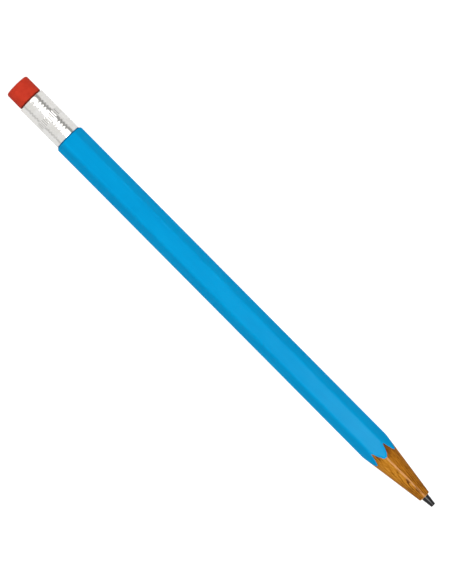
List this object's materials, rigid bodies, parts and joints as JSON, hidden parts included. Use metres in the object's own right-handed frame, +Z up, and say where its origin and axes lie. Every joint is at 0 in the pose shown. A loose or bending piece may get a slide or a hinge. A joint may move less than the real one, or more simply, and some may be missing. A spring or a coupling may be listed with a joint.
{
  "type": "push-button mechanical pencil",
  "caption": "Hexagonal wood-bodied mechanical pencil with a bare wood cone, black lead guide, ringed metal ferrule and a red eraser push button.",
  "frame": {"origin": "under the middle of the pencil, on the surface it lies on", "axes": "+X along the pencil to its writing end, +Z up out of the flat it lies on, +Y to the left"},
  "size_m": [0.142, 0.0078, 0.007],
  "materials": {
    "wood": "bare sharpened incense cedar, lightly oiled",
    "lacquer": "glossy sky-blue lacquer",
    "ferrule_metal": "bright rolled aluminium",
    "eraser_rubber": "matt red eraser rubber",
    "guide_black": "gloss black",
    "retainer_rubber": "soft black rubber",
    "liner_plastic": "natural white plastic",
    "sleeve_plastic": "dark grey acetal",
    "holder_plastic": "white plastic",
    "reservoir_plastic": "pale grey plastic",
    "brass": "turned brass",
    "spring_steel": "drawn spring wire",
    "graphite": "polymer-bonded graphite lead"
  },
  "bodies": {
    "barrel": {"barrel_slat_left": "wood", "barrel_slat_right": "wood", "lacquer_coat": "lacquer", "ferrule": "ferrule_metal", "lead_guide": "guide_black", "lead_retainer": "retainer_rubber", "barrel_liner": "liner_plastic", "chuck_sleeve": "sleeve_plastic", "return_spring": "spring_steel"},
    "push_train": {"eraser_holder": "holder_plastic", "lead_reservoir": "reservoir_plastic", "chuck_stem": "brass"},
    "clutch_ring": {"clutch_ring": "brass"},
    "jaw_1": {"chuck_jaw_1": "brass"},
    "jaw_2": {"chuck_jaw_2": "brass"},
    "jaw_3": {"chuck_jaw_3": "brass"},
    "writing_lead": {"writing_lead": "graphite"},
    "eraser": {"eraser": "eraser_rubber"},
    "spare_lead_1": {"spare_lead_1": "graphite"},
    "spare_lead_2": {"spare_lead_2": "graphite"},
    "spare_lead_3": {"spare_lead_3": "graphite"}
  },
  "joints": [
    {"name": "eraser_push", "type": "slide", "parent": "barrel", "child": "push_train", "axis": [1, 0, 0], "range_m": [0, 0.003], "stiffness_N_per_m": 1200, "springref_m": -0.0025, "deforming": ["return_spring"]},
    {"name": "clutch_ring_travel", "type": "slide", "parent": "barrel", "child": "clutch_ring", "axis": [1, 0, 0], "range_m": [0, 0.0008]},
    {"name": "jaw_1_open", "type": "hinge", "parent": "push_train", "child": "jaw_1", "pos_m": [0.047, 0, 0.00434], "axis": [0, -1, 0], "range_deg": [0, 1.2]},
    {"name": "jaw_2_open", "type": "hinge", "parent": "push_train", "child": "jaw_2", "pos_m": [0.047, -0.00073, 0.00308], "axis": [0, 0.5, -0.866], "range_deg": [0, 1.2]},
    {"name": "jaw_3_open", "type": "hinge", "parent": "push_train", "child": "jaw_3", "pos_m": [0.047, 0.00073, 0.00308], "axis": [0, 0.5, 0.866], "range_deg": [0, 1.2]},
    {"name": "lead_feed", "type": "slide", "parent": "clutch_ring", "child": "writing_lead", "axis": [1, 0, 0], "range_m": [0, 0.012]},
    {"name": "eraser_pull", "type": "slide", "parent": "push_train", "child": "eraser", "axis": [-1, 0, 0], "range_m": [0, 0.012]},
    {"name": "spare_lead_1_slide", "type": "slide", "parent": "push_train", "child": "spare_lead_1", "axis": [1, 0, 0], "range_m": [-0.03191, 0.0029]},
    {"name": "spare_lead_2_slide", "type": "slide", "parent": "push_train", "child": "spare_lead_2", "axis": [1, 0, 0], "range_m": [-0.02691, 0.0079]},
    {"name": "spare_lead_3_slide", "type": "slide", "parent": "push_train", "child": "spare_lead_3", "axis": [1, 0, 0], "range_m": [-0.01591, 0.0189]}
  ],
  "couplings": [
    {"joint": "clutch_ring_travel", "follows": "eraser_push", "ratio": 0.26667},
    {"joint": "jaw_1_open", "follows": "eraser_push", "rad_per_m": 6.9743},
    {"joint": "jaw_2_open", "follows": "eraser_push", "rad_per_m": 6.9743},
    {"joint": "jaw_3_open", "follows": "eraser_push", "rad_per_m": 6.9743}
  ]
}
